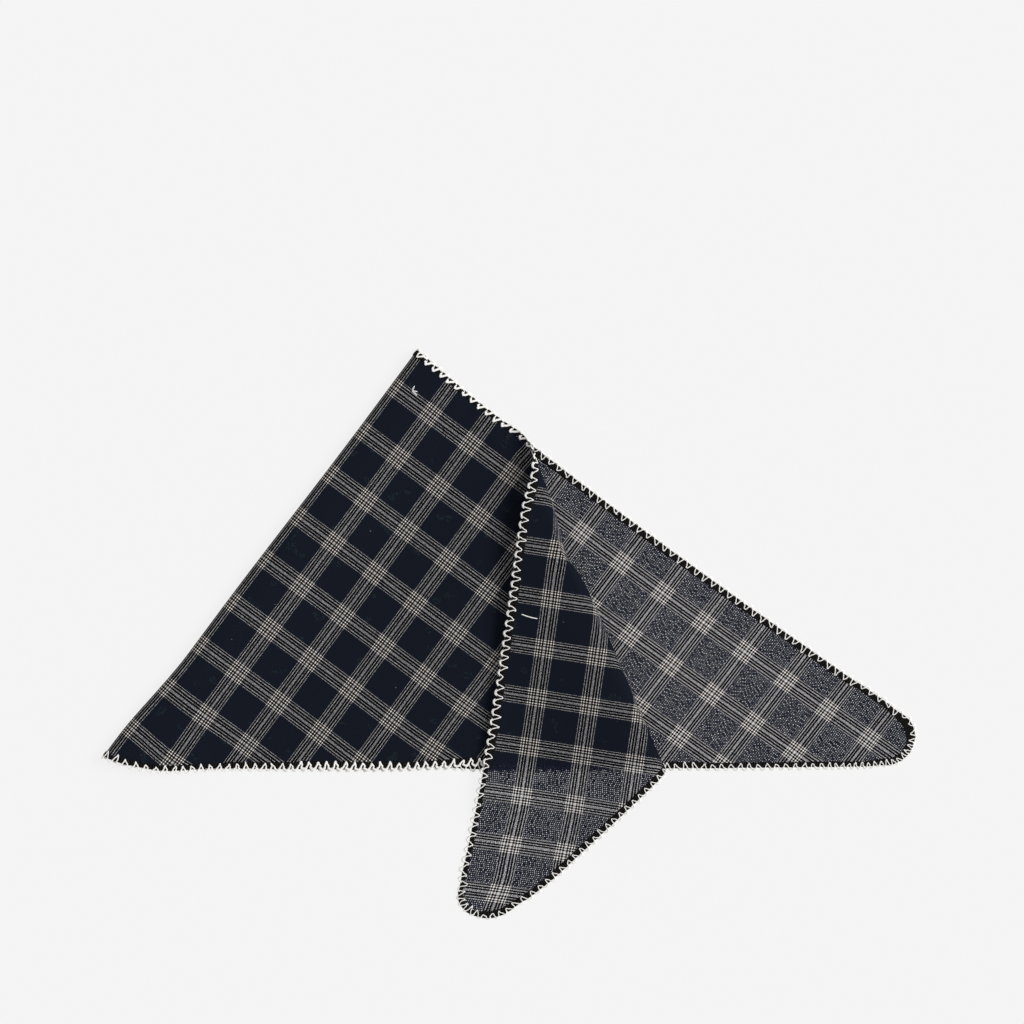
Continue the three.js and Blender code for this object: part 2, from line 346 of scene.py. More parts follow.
def at_edge(distance, depth):
    """The flat point that lies depth inside the edge, at a distance along it."""
    distance = np.mod(distance, perimeter)
    closed = np.concatenate([outline, outline[:1]])
    closed_outward = np.concatenate([outline_outward, outline_outward[:1]])
    u = np.interp(distance, outline_distance, closed[:, 0])
    v = np.interp(distance, outline_distance, closed[:, 1])
    out_u = np.interp(distance, outline_distance, closed_outward[:, 0])
    out_v = np.interp(distance, outline_distance, closed_outward[:, 1])
    return u - out_u * depth, v - out_v * depth


def depth_inside(u, v):
    """How far each flat point lies inside the edge."""
    points = np.stack([u.ravel(), v.ravel()], axis=-1)
    depths = np.empty(len(points))
    coarse = outline[::OUTLINE_SKIP]
    for first in range(0, len(points), CHUNK):
        gap = points[first : first + CHUNK, None, :] - coarse[None]
        depths[first : first + CHUNK] = np.sqrt((gap**2).sum(axis=2).min(axis=1))
    return depths.reshape(u.shape)


# ---------------------------------------------------------------- meshes

# The bake's map of the cloth: its flat coordinates, scaled to the image.
FLAT_MAP = "OFBake"
FLAT_U_SPAN = 1124.0
FLAT_V_SPAN = 426.0
FLAT_V_START = -5.0


def add_to_scene(name, data):
    thing = bpy.data.objects.new(name, data)
    bpy.context.scene.collection.objects.link(thing)
    return thing


def new_piece(name, vertices, quads, material):
    mesh = bpy.data.meshes.new(name)
    mesh.from_pydata(vertices.reshape(-1, 3).tolist(), [], quads.tolist())
    mesh.polygons.foreach_set("use_smooth", [True] * len(mesh.polygons))
    mesh.materials.append(material)
    mesh.update()
    return add_to_scene(name, mesh)


def add_flat_map(piece, u, v):
    """Gives a piece the bake's map, by the flat coordinates of its vertices."""
    flat = np.stack([u / FLAT_U_SPAN + 0.5, (v - FLAT_V_START) / FLAT_V_SPAN], axis=-1).reshape(-1, 2)
    layer = piece.data.uv_layers.new(name=FLAT_MAP)
    corners = np.empty(len(piece.data.loops), dtype=np.int32)
    piece.data.loops.foreach_get("vertex_index", corners)
    layer.uv.foreach_set("vector", flat[corners].astype(np.float32).ravel())


def add_values(piece, name, values):
    """Gives each vertex of a piece a value that its material reads."""
    attribute = piece.data.attributes.new(name, "FLOAT", "POINT")
    attribute.data.foreach_set("value", values.ravel().astype(np.float32))


def grid_quads(rows, columns, loop_rows=False, loop_columns=False):
    """The faces of a grid of rows by columns of vertices."""
    r = np.arange(rows if loop_rows else rows - 1)
    c = np.arange(columns if loop_columns else columns - 1)
    r, c = np.meshgrid(r, c, indexing="ij")
    next_r, next_c = (r + 1) % rows, (c + 1) % columns
    corners = [(r, c), (next_r, c), (next_r, next_c), (r, next_c)]
    return np.stack([row * columns + column for row, column in corners], axis=-1).reshape(-1, 4)


def smooth_path(knots, samples):
    """A closed Catmull-Rom curve through knots, with samples points to each span."""
    before, here = np.roll(knots, 1, axis=0), knots
    after, later = np.roll(knots, -1, axis=0), np.roll(knots, -2, axis=0)
    t = np.arange(samples)[None, :, None] / samples
    before, here, after, later = (k[:, None, :] for k in (before, here, after, later))
    curve = 0.5 * (
        2 * here
        + (after - before) * t
        + (2 * before - 5 * here + 4 * after - later) * t**2
        + (3 * here - before - 3 * after + later) * t**3
    )
    return curve.reshape(-1, knots.shape[1])


def strand_points(knots, samples):
    """A closed strand's points, right-side directions, and path along the edge, from its knots: the
    distance along the edge, the depth inside it and the height of each."""
    knots = knots.reshape(-1, 3)
    closing = knots.copy()
    closing[:, 0] -= np.arange(len(knots)) * perimeter / len(knots)
    path = smooth_path(closing, samples)
    path[:, 0] += np.arange(len(path)) * perimeter / len(path)
    u, v = at_edge(path[:, 0], path[:, 1])
    return lay(u, v, path[:, 1], path[:, 2]), facing(u, v), path


def tube(points, up, half_width, half_height, sides):
    """The vertices of a closed tube with an oval section round the points of a loop. Its
    half_width is one number, or one for each point."""
    tangent = np.roll(points, -1, axis=0) - np.roll(points, 1, axis=0)
    tangent /= np.linalg.norm(tangent, axis=1, keepdims=True)
    side = np.cross(tangent, up)
    side /= np.maximum(np.linalg.norm(side, axis=1, keepdims=True), ROUNDING)
    over = np.cross(side, tangent)
    angle = np.linspace(0.0, 2.0 * math.pi, sides, endpoint=False)
    across = (np.broadcast_to(half_width, len(points))[:, None] * np.cos(angle) * MM)[:, :, None]
    above = (half_height * np.sin(angle) * MM)[None, :, None]
    return points[:, None, :] + side[:, None, :] * across + over[:, None, :] * above


def make_tube(name, points, up, half_width, half_height, sides, material):
    vertices = tube(points, up, half_width, half_height, sides)
    quads = grid_quads(len(points), sides, loop_rows=True, loop_columns=True)
    return new_piece(name, vertices, quads, material)

# ---------------------------------------------------------------- the cloth

# How finely the cloth is divided: across, along its flat parts and its rolls, round a side corner in
# degrees, and where its rows turn from the first fold towards the second.
CLOTH_COLUMNS = 104
CLOTH_STEP = 3.2
ROLL_STEP = 1.1
TIP_DEGREES = (7, 14, 22, 30, 38, 46, 54, 62, 70, 78, 85)
TURNING_ROWS = 56


def line_on_cloth(through, direction):
    """The two ends of the stretch of a line that lies on the cloth, long edge first."""
    side = direction[0] * (outline[:, 1] - through[1]) - direction[1] * (outline[:, 0] - through[0])
    following = np.roll(side, -1)
    crossing = np.nonzero((side * following < 0.0) | (side == 0.0))[0]
    share = (side[crossing] / (side[crossing] - following[crossing]))[:, None]
    ends = outline[crossing] + (np.roll(outline, -1, axis=0)[crossing] - outline[crossing]) * share
    order = np.argsort(ends @ direction)
    return ends[order[0]], ends[order[-1]]


def round_tip(degrees):
    """How far in from a side corner's tip the place so far round it lies."""
    return SIDE_CORNER_RADIUS * (1.0 - math.cos(math.radians(degrees)))


def spaced(start, end, step, endpoint=False):
    """Places from start to end that lie about a step apart."""
    return np.linspace(start, end, int(abs(end - start) / step), endpoint=endpoint)


def cloth_rows():
    """Lines across the flat cloth from its right tip to its left one, as arrays of points."""
    tip = outline[:, 0].max()
    across_u = [
        *(tip - round_tip(degrees) for degrees in TIP_DEGREES),
        *spaced(tip - SIDE_CORNER_RADIUS, FIRST_QUARTER, CLOTH_STEP),
        *spaced(FIRST_QUARTER, -FIRST_QUARTER, ROLL_STEP, endpoint=True),
    ]
    lines = [(np.array([u, 0.0]), np.array([0.0, 1.0])) for u in across_u]

    # From here on the lines turn towards the second fold, and then run along it.
    direction = np.array([-ALONG[0], ALONG[1]])
    out = np.array([-OUT[0], OUT[1]])
    flat_start = np.array([-FIRST_FLAT, SECOND_FOLD_START[1]])

    def along_fold(distance):
        return flat_start + out * (distance - SECOND_ROLL_RADIUS), direction

    first_along, _ = line_on_cloth(*along_fold(0.0))
    leaning = math.atan2(direction[1], direction[0]) - math.pi / 2
    for share in np.linspace(0.0, 1.0, TURNING_ROWS, endpoint=False)[1:]:
        through = np.array([-FIRST_QUARTER, 0.0]) * (1.0 - share) + first_along * share
        angle = math.pi / 2 + leaning * share
        lines.append((through, np.array([math.cos(angle), math.sin(angle)])))
    tip = ((outline - flat_start) @ out).max() + SECOND_ROLL_RADIUS
    distances = [
        *spaced(0.0, SECOND_HALF, ROLL_STEP),
        *spaced(SECOND_HALF, tip - SIDE_CORNER_RADIUS, CLOTH_STEP),
        *(tip - round_tip(degrees) for degrees in (90, *reversed(TIP_DEGREES))),
    ]
    lines += [along_fold(distance) for distance in distances]

    ends = [line_on_cloth(through, heading) for through, heading in lines]
    across = np.linspace(0.0, 1.0, CLOTH_COLUMNS + 1)[:, None]
    return np.array([low + (high - low) * across for low, high in ends])


def past_second_fold(u, v):
    """The distance of flat points round and past the second fold's roll."""
    return (-u - FIRST_FLAT) * OUT[0] + (v - SECOND_FOLD_START[1]) * OUT[1] + SECOND_ROLL_RADIUS


# The share of backing: 1 where the cloth lies over another layer, 0 where it lies on the floor. By it
# the material paints the cloth lighter where it lies on the floor, as painted backlight from the pale
# floor.
BACKED = "backed"
BACKED_FADE = (1.5, 4.5)


def over_cloth(u, v):
    """Which flat points lie over the lower layer once folded. Those of the flap fade out towards
    its edge, where it shows through."""
    points = folded(u, v)[..., :2].reshape(-1, 2)
    lower = outline[outline[:, 0] > 0.0][::OUTLINE_SKIP]
    lower = folded(lower[:, 0], lower[:, 1])[:, :2]
    following = np.roll(lower, -1, axis=0)
    backed = np.empty(len(points))
    for first in range(0, len(points), CHUNK):
        here = points[first : first + CHUNK, None, :]
        # A point is inside where a ray from it towards +X crosses the outline an odd number of times.
        rises = (lower[:, 1] > here[..., 1]) != (following[:, 1] > here[..., 1])
        run = np.where(following[:, 1] == lower[:, 1], 1.0, following[:, 1] - lower[:, 1])
        crossing = lower[:, 0] + (here[..., 1] - lower[:, 1]) * (following[:, 0] - lower[:, 0]) / run
        inside = (rises & (here[..., 0] < crossing)).sum(axis=1) % 2 == 1
        nearest = np.sqrt(((here - lower[None]) ** 2).sum(axis=2).min(axis=1))
        backed[first : first + CHUNK] = np.where(inside, smoothstep(nearest, *BACKED_FADE), 0.0)
    backed = np.where(past_second_fold(u, v).ravel() > 0.0, backed, 1.0)
    return np.where(u.ravel() > 0.0, 0.0, backed).reshape(u.shape)


# The thin cloth is pulled out of square on the flap, at its tip and at the back corner. FLAP_DRIFT
# grows with u and v away from FLAP_DRIFT_FROM. The others have a size and fade in over a stretch.
DRIFT = "check_drift"
FLAP_DRIFT = -1.7e-4
FLAP_DRIFT_FROM = (-150.0, 15.0)
TIP_DRIFT = -2.2
TIP_DRIFT_FADE = (410.0, 460.0)
CORNER_DRIFT = 2.2
CORNER_DRIFT_FADE = (300.0, 390.0)
CORNER_DRIFT_REACH = (20.0, 110.0)


def check_drift(u, v):
    """How far the check lies off along v at each flat point."""
    flap_drift = FLAP_DRIFT * (FLAP_DRIFT_FROM[0] - u) * (v - FLAP_DRIFT_FROM[1])
    flap_drift = flap_drift + TIP_DRIFT * smoothstep(-u, *TIP_DRIFT_FADE)
    on_flap = smoothstep(past_second_fold(u, v), 0.0, SECOND_HALF)
    at_corner = smoothstep(v, *CORNER_DRIFT_FADE) * (1.0 - smoothstep(np.abs(u), *CORNER_DRIFT_REACH))
    return flap_drift * on_flap + CORNER_DRIFT * at_corner


def make_cloth(material):
    rows = cloth_rows()
    u, v = rows[..., 0], rows[..., 1]
    vertices = lay(u, v, depth_inside(u, v), np.zeros_like(u))
    piece = new_piece("cloth_sheet", vertices, grid_quads(*u.shape), material)
    add_flat_map(piece, u, v)
    add_values(piece, BACKED, over_cloth(u, v))
    add_values(piece, DRIFT, check_drift(u, v))
    return piece


# ---------------------------------------------------------------- the overlocked hem

# The edge is not the same all the way round. By the distance from a corner, or from the middle of
# the long edge: from where, start, end, how far the yarn has rolled outwards there, and shares of
# the usual bite, hem and thickness of the yarn.
ROLL_FADE = 9.0
ROLLED_EDGES = (
    (TIP_BACK, -6.0, 18.0, 0.4, 1.15, 0.6, 0.8),
    (TIP_BACK, 26.0, 150.0, 1.3, 0.95, 0.85, 0.85),
    (TIP_BACK, 160.0, 420.0, 0.0, 1.0, 0.95, 1.2),
    (TIP_LEFT, 42.0, 128.0, 1.0, 0.74, 0.6, 1.0),
    (TIP_LEFT, 8.0, 36.0, -1.6, 0.8, 0.6, 0.9),
    (TIP_LEFT, -28.0, 2.0, -1.3, 0.75, 0.9, 0.9),
    (TIP_LEFT, -400.0, -36.0, 0.6, 0.85, 0.9, 0.9),
    (TIP_RIGHT, -75.0, -50.0, 1.2, 0.62, 0.8, 0.9),
    (TIP_RIGHT, -33.0, -25.0, 0.6, 0.45, 1.3, 0.8),
    (TIP_RIGHT, -8.0, 26.0, -1.3, 0.8, 0.9, 0.9),
    (TIP_RIGHT, 34.0, 160.0, 0.6, 0.68, 0.8, 0.9),
    (0.0, -132.0, -14.0, -2.0, 0.64, 0.9, 1.5),
)


def along_stretch(along, start, end, fade):
    """1 from start to end, fading to 0 on both sides."""
    return smoothstep(along, start - fade, start) - smoothstep(along, end, end + fade)


def rolled_out(distance):
    """The outward roll, and the shares of bite, hem and yarn, at distances along the edge."""
    shift, shares = np.zeros_like(distance), [np.ones_like(distance) for _ in range(3)]
    for corner, start, end, amount, *usual in ROLLED_EDGES:
        along = np.mod(distance - corner + perimeter / 2, perimeter) - perimeter / 2
        inside = along_stretch(along, start, end, ROLL_FADE)
        shift = shift + amount * inside
        shares = [share + (there - 1.0) * inside for share, there in zip(shares, usual)]
    return shift, *shares


# The hem is dark thread round the cloth's edge. Its boundaries are depths inside the edge, and each
# goes along with a share of the edge's outward roll. Its section runs from the outer boundary to
# the inner one, as shares of the way and heights.
HEM_STEP = 1.5
HEM_OUTER = -1.1
HEM_INNER = 4.2
HEM_TIP_INNER = 5.8
HEM_TIP_FADE = (14.0, 40.0)
HEM_OUTER_ROLL = 0.45
HEM_INNER_ROLL = 0.6
HEM_OUTER_WANDER = 0.12
HEM_INNER_WANDER = 0.16
HEM_SECTION = (
    (0.0, 0.0),
    (0.08, 0.2),
    (0.3, 0.27),
    (0.6, 0.27),
    (0.9, 0.2),
    (1.0, 0.0),
    (0.9, -0.2),
    (0.6, -0.27),
    (0.3, -0.27),
    (0.08, -0.2),
)


def hem_reach(distance):
    """The depths of the hem's outer and inner boundaries."""
    rolled, _, hem, _ = rolled_out(distance)
    from_tip = np.minimum(np.abs(distance - TIP_RIGHT), np.abs(distance - TIP_LEFT))
    near_tip = 1.0 - smoothstep(from_tip, *HEM_TIP_FADE)
    inner = (HEM_INNER + (HEM_TIP_INNER - HEM_INNER) * near_tip) * hem
    return HEM_OUTER - HEM_OUTER_ROLL * rolled, inner - HEM_INNER_ROLL * np.maximum(rolled, 0.0)


def make_hem(material):
    stations = int(perimeter / HEM_STEP)
    distance = np.arange(stations) * perimeter / stations
    outer, inner = hem_reach(distance)
    outer = outer + HEM_OUTER_WANDER * rng.normal(size=stations)
    inner = inner + HEM_INNER_WANDER * rng.normal(size=stations)
    share, height = np.array(HEM_SECTION).T
    depth = outer[:, None] + (inner - outer)[:, None] * share
    height = np.tile(height, (stations, 1))
    u, v = at_edge(np.repeat(distance[:, None], len(HEM_SECTION), axis=1), depth)
    vertices = lay(u, v, depth, height)
    quads = grid_quads(stations, len(HEM_SECTION), loop_rows=True, loop_columns=True)
    return new_piece("overlocked_hem", vertices, quads, material)


# The overlock thread goes over the hem from its inner boundary, round the edge and back under it.
# The knots of one loop: share of the pitch, share of the way from outer to inner boundary, height.
OVERLOCK_PITCH = 1.75
OVERLOCK_LOOP = (
    (0.0, 0.98, 0.22),
    (0.2, 0.6, 0.44),
    (0.42, 0.06, 0.3),
    (0.62, 0.2, -0.34),
    (0.84, 0.75, -0.42),
)
OVERLOCK_WANDER_ALONG = 0.10
OVERLOCK_WANDER_ACROSS = 0.14
OVERLOCK_SAMPLES = 2
OVERLOCK_HALF_WIDTH = 0.36
OVERLOCK_HALF_HEIGHT = 0.26
THREAD_SIDES = 6


def make_overlock(material):
    loops = int(perimeter / OVERLOCK_PITCH)
    share, across, height = (np.tile(column, (loops, 1)) for column in np.array(OVERLOCK_LOOP).T)
    distance = (np.arange(loops)[:, None] + share) * perimeter / loops
    distance = distance + OVERLOCK_WANDER_ALONG * rng.normal(size=distance.shape)
    outer, inner = hem_reach(distance)
    wander = OVERLOCK_WANDER_ACROSS * rng.normal(size=distance.shape)
    depth = outer + (inner - outer) * across + wander
    points, up, _ = strand_points(np.stack([distance, depth, height], axis=-1), OVERLOCK_SAMPLES)
    halves = (OVERLOCK_HALF_WIDTH, OVERLOCK_HALF_HEIGHT)
    return make_tube("overlock_thread", points, up, *halves, THREAD_SIDES, material)


# ---------------------------------------------------------------- the yarn edging

# The pitch of the stitches along the long edge and along the two short ones.
LONG_PITCH = 8.05
SHORT_PITCH = 7.15

# Where the stitches lie closer, by the distance from a corner: corner, start, end, pitch.
CLOSE_STITCHES = ((TIP_RIGHT, -8.0, 56.0, 5.0), (TIP_LEFT, -18.0, 18.0, 6.0))
CLOSE_FADE = 20.0


def stitch_places():
    """The distances along the edge at which the stitches bite into the cloth."""
    places = [0.0]
    while places[-1] < perimeter:
        here = places[-1]
        on_long_edge = here < TIP_RIGHT or here > TIP_LEFT
        pitch = LONG_PITCH if on_long_edge else SHORT_PITCH
        for corner, start, end, close_pitch in CLOSE_STITCHES:
            close = along_stretch(here - corner, start, end, CLOSE_FADE)
            pitch += (close_pitch - pitch) * float(close)
        places.append(here + pitch)
    places = np.array(places[:-1])
    return places * perimeter / (places[-1] + LONG_PITCH)


STITCHES = stitch_places()
COUNT = len(STITCHES)
PITCHES = np.diff(np.append(STITCHES, perimeter))

# Chance makes each stitch its own: how much longer its bite is, how far it drifts along the edge,
# wholly from DRIFT_DEPTH inwards, and how far each of its knots wanders.
BITE_CHANCE = 0.2
DRIFT_CHANCE = 0.6
DRIFT_DEPTH = 3.0
KNOT_WANDER = 0.18
BITES = rolled_out(STITCHES)[1] * (1.0 + BITE_CHANCE * rng.normal(size=COUNT))
DRIFTS = DRIFT_CHANCE * rng.normal(size=COUNT)


def stitch_knots(shape):
    """The knots of a strand that repeats shape at each stitch. A knot of shape is the share of the
    pitch that it lies past the bite, its depth inside the edge, and its height."""
    share, depth, height = (np.tile(column, (COUNT, 1)) for column in np.array(shape).T)
    # A knot goes with the nearer of the two bites it lies between.
    to_next = share >= 0.5
    bite = np.where(to_next, np.roll(BITES, -1)[:, None], BITES[:, None])
    drift = np.where(to_next, np.roll(DRIFTS, -1)[:, None], DRIFTS[:, None])
    deep = np.clip(depth / DRIFT_DEPTH, 0.0, 1.0)
    depth = np.where(depth > 0.0, depth * bite, depth)
    distance = STITCHES[:, None] + share * PITCHES[:, None] + drift * deep
    distance = distance + rng.normal(size=depth.shape) * KNOT_WANDER
    depth = depth + rng.normal(size=depth.shape) * KNOT_WANDER - rolled_out(distance)[0]
    return np.stack([distance, depth, height], axis=-1)


# One stitch of each strand: share of the pitch past the bite, depth inside the edge, height.
FRONT_STITCH = (
    (-0.065, 3.0, 0.60),
    (0.0, 3.45, 0.62),
    (0.065, 3.0, 0.64),
    (0.125, 1.6, 0.66),
    (0.19, -0.3, 0.60),
    (0.25, -1.6, 0.40),
    (0.37, -2.15, 0.25),
    (0.50, -2.05, 0.20),
    (0.60, -1.5, 0.30),
    (0.70, -0.5, 0.55),
    (0.79, 0.8, 0.66),
    (0.87, 2.0, 0.64),
)
BACK_STITCH = (
    (0.0, 3.4, -0.64),
    (0.08, 2.0, -0.66),
    (0.17, 0.5, -0.60),
    (0.12, -0.7, -0.10),
    (0.22, -1.7, 0.10),
    (0.37, -2.4, -0.25),
    (0.54, -2.3, -0.30),
    (0.66, -1.4, -0.40),
    (0.77, -0.1, -0.60),
    (0.87, 1.2, -0.66),
    (0.95, 2.5, -0.64),
)
YARN_SAMPLES = 3
YARN_SIDES = 8

# Each strand: name, stitch, half width and half height of the yarn.
STRANDS = (
    ("edging_front_stitches", FRONT_STITCH, 0.40, 0.36),
    ("edging_back_stitches", BACK_STITCH, 0.58, 0.40),
)

# The yarn swells where it runs along outside the edge.
SWELL = 0.35
SWELL_DEPTH = (-1.6, -0.4)


def make_strand(name, shape, half_width, half_height, material):
    points, up, path = strand_points(stitch_knots(shape), YARN_SAMPLES)
    outside = 1.0 - smoothstep(path[:, 1], *SWELL_DEPTH)
    widths = half_width * (1.0 + SWELL * outside) * rolled_out(path[:, 0])[3]
    return make_tube(name, points, up, widths, half_height, YARN_SIDES, material)


def make_edging(material):
    return [make_strand(*strand, material) for strand in STRANDS]


# Two loose ends of white thread, as flat points and heights: one on the wrong side, one on the
# flap. They are laid out as if beyond the reach of the edge's lift.
THREAD_MARKS = (
    (
        (-19.2, 23.5, -0.3),
        (-20.1, 27.1, -0.3),
        (-24.8, 27.9, -0.35),
        (-25.0, 27.5, -0.3),
        (-20.7, 26.8, -0.35),
        (-23.4, 25.7, -0.4),
        (-23.6, 25.3, -0.3),
        (-20.6, 26.3, -0.45),
        (-19.6, 23.5, -0.3),
    ),
    (
        (-260.9, 12.7, 0.3),
        (-261.9, 18.3, 0.35),
        (-262.3, 24.0, 0.3),
        (-262.6, 24.0, 0.3),
        (-262.3, 18.4, 0.35),
        (-261.2, 12.7, 0.3),
    ),
)
MARK_SAMPLES = 4
MARK_HALF_WIDTH = 0.22
MARK_HALF_HEIGHT = 0.16


def make_thread_marks(material):
    pieces = []
    for number, knots in enumerate(THREAD_MARKS, 1):
        u, v, height = smooth_path(np.array(knots), MARK_SAMPLES).T
        points = lay(u, v, np.full_like(u, EDGE_LIFT_REACH[1]), height)
        halves = (MARK_HALF_WIDTH, MARK_HALF_HEIGHT)
        name = f"thread_mark_{number}"
        pieces.append(make_tube(name, points, facing(u, v), *halves, THREAD_SIDES, material))
    return pieces


# ---------------------------------------------------------------- materials


class Graph:
    """A short way to write a material's nodes."""

    def __init__(self, name):
        self.material = bpy.data.materials.new(name)
        self.material.use_nodes = True
        self.tree = self.material.node_tree
        self.shader = self.tree.nodes["Principled BSDF"]

    def node(self, kind, inputs=(), **settings):
        made = self.tree.nodes.new(kind)
        for key, value in settings.items():
            setattr(made, key, value)
        for key, value in dict(inputs).items():
            self.put(made.inputs[key], value)
        return made

    def put(self, socket, value):
        if isinstance(value, bpy.types.NodeSocket):
            self.tree.links.new(value, socket)
        else:
            socket.default_value = value

    def finish(self, **inputs):
        """Sets the shader's inputs, written with _ for a space, and returns the material."""
        for key, value in inputs.items():
            self.put(self.shader.inputs[key.replace("_", " ")], value)
        return self.material

    def math(self, operation, *values):
        return self.node("ShaderNodeMath", enumerate(values), operation=operation).outputs[0]

    def product(self, first, *others):
        for other in others:
            first = self.math("MULTIPLY", first, other)
        return first

    def less(self, share, amount):
        """What is left of 1 when a share of the amount is taken away."""
        return self.math("SUBTRACT", 1.0, self.product(share, amount))

    def between(self, share, low, high):
        return self.math("MULTIPLY_ADD", share, high - low, low)

    def mix(self, share, low, high):
        made = self.node("ShaderNodeMix", {0: share, 6: low, 7: high}, data_type="RGBA")
        return made.outputs[2]

    def ramp(self, value, stops):
        made = self.node("ShaderNodeValToRGB", {0: value})
        elements = made.color_ramp.elements
        while len(elements) < len(stops):
            elements.new(0.5)
        for element, (position, shade) in zip(elements, stops):
            element.position = position
            element.color = (shade, shade, shade, 1.0)
        return made.outputs[0]

    def vector(self, x, y, z=0.0):
        return self.node("ShaderNodeCombineXYZ", {0: x, 1: y, 2: z}).outputs[0]

    def noise(self, vector, scale, detail):
        made = self.node("ShaderNodeTexNoise", {"Vector": vector, "Scale": scale, "Detail": detail})
        return made.outputs["Fac"]

    def chance(self, vector):
        return self.node("ShaderNodeTexWhiteNoise", {"Vector": vector}).outputs["Value"]

    def attribute(self, name):
        return self.node("ShaderNodeAttribute", attribute_name=name).outputs["Fac"]

    def position(self):
        """The place of the shaded point in the scene, in metres."""
        return self.node("ShaderNodeNewGeometry").outputs["Position"]


# The check, along u and along v: where the middle of a band lies, and the repeat.
CHECK_U = (-3.7, 40.25)
CHECK_V = (33.5, 42.6)

# The lines of one band of the check, outwards from its middle: from, to, as shares of the repeat,
# and how cream its threads are. Between them lie gaps of the densest dark threads.
CHECK_LINES = (
    (0.0, 0.0215, 0.70),
    (0.0585, 0.0695, 0.97),
    (0.1085, 0.1260, 1.0),
    (0.1575, 0.1675, 0.95),
)

# A whole band as one line, how far from its middle the ramps run, how soft the edges of lines are,
# and how far the gaps stay off them.
WHOLE_BAND = ((0.0, 0.17, 1.0),)
BAND_REACH = 0.2
CHECK_SOFTNESS = 0.002
GAP_MARGIN = 0.004

# Where two bands cross, their lines are this much wider, and the middle one is less cream.
SPOT_SPREAD = 0.003
MIDDLE_SPOT = 0.62

# The pitch of the threads. How light a cream thread looks among dark ones, and how much of that is
# lost where two bands cross: over another layer, and where the cloth lies on the floor. The values for
# the floor are painted backlight: there the threads are painted lighter, as the pale floor shines
# through.
THREAD = 0.48
LINE_LIGHT = 0.69
BACKLIT_LINE_LIGHT = 1.0
CROSSING_SHADE = 0.55
BACKLIT_CROSSING_SHADE = 0.12

# The threads are uneven, and light flecks and patches of lint are caught in them. Scales are per
# millimetre, and each noise is read on a plane of its own.
UNEVEN_SCALE = 1.7
UNEVEN_PLANE = 9.0
UNEVEN_SPREAD = 3.2
FLECK_SCALE = 0.055
FLECK_SIZE = 0.026
FLECK_LIGHT = 0.22
PATCH_SCALE = 0.09
PATCH_PLANE = 21.0
PATCH_LEAST = 0.71
LINT_SCALE = 0.8
LINT_PLANE = 33.0
LINT_LEAST = 0.56

# The openings between the threads: their pitch across and along, and how much of it each takes up.
OPENING_WIDTH = 1.6
OPENING_LENGTH = 1.6
OPENING_SHARE = (0.42, 0.46)

# How open each is: partly by turns along a thread, and partly by chance. Each thread starts at a
# place of its own, within two openings.
OPEN_BY_TURNS = 0.285
OPEN_BY_CHANCE = 0.52
START_SPREAD = 2.0
START_ROW = 0.5

# How much of them is closed in the dark gaps, on the lines, and over another layer.
GAP_CLOSED = 0.95
LINE_CLOSED = 0.25
BACKED_CLOSED = 0.98

# The cloth's colours. The second navy and the second cream are lighter copies for where the cloth lies
# on the floor: painted backlight from the pale floor shining through the threads.
NAVY = (0.0060, 0.0080, 0.0145, 1.0)
BACKLIT_NAVY = (0.0070, 0.0082, 0.0190, 1.0)
BLACK = (0.0018, 0.0018, 0.0022, 1.0)
GREY = (0.665, 0.645, 0.645, 1.0)
CREAM = (0.88, 0.81, 0.74, 1.0)
BACKLIT_CREAM = (0.98, 0.92, 0.86, 1.0)
LINT = (0.010, 0.018, 0.022, 1.0)


def spot_lines():
    """The lines as they are where two bands cross and no dark thread narrows them."""
    middle, *others = CHECK_LINES
    wider = [(start - SPOT_SPREAD, end + SPOT_SPREAD, 1.0) for start, end, _ in others]
    return [(0.0, middle[1], MIDDLE_SPOT), *wider]


def gap_lines():
    """The gaps between the lines of a band, written as the lines are."""
    ends = [end for _, end, _ in CHECK_LINES[:-1]]
    starts = [start for start, _, _ in CHECK_LINES[1:]]
    return [(end + GAP_MARGIN, start - GAP_MARGIN, 1.0) for end, start in zip(ends, starts)]


def band_stops(lines):
    """The stops of a ramp that runs from the middle of a band to its reach."""
    stops = [(0.0, lines[0][2])] if lines[0][0] == 0.0 else [(0.0, 0.0)]
    for start, end, shade in lines:
        if start > 0.0:
            stops.append(((start - CHECK_SOFTNESS) / BAND_REACH, 0.0))
            stops.append(((start + CHECK_SOFTNESS) / BAND_REACH, shade))
        stops.append(((end - CHECK_SOFTNESS) / BAND_REACH, shade))
        stops.append(((end + CHECK_SOFTNESS) / BAND_REACH, 0.0))
    return stops


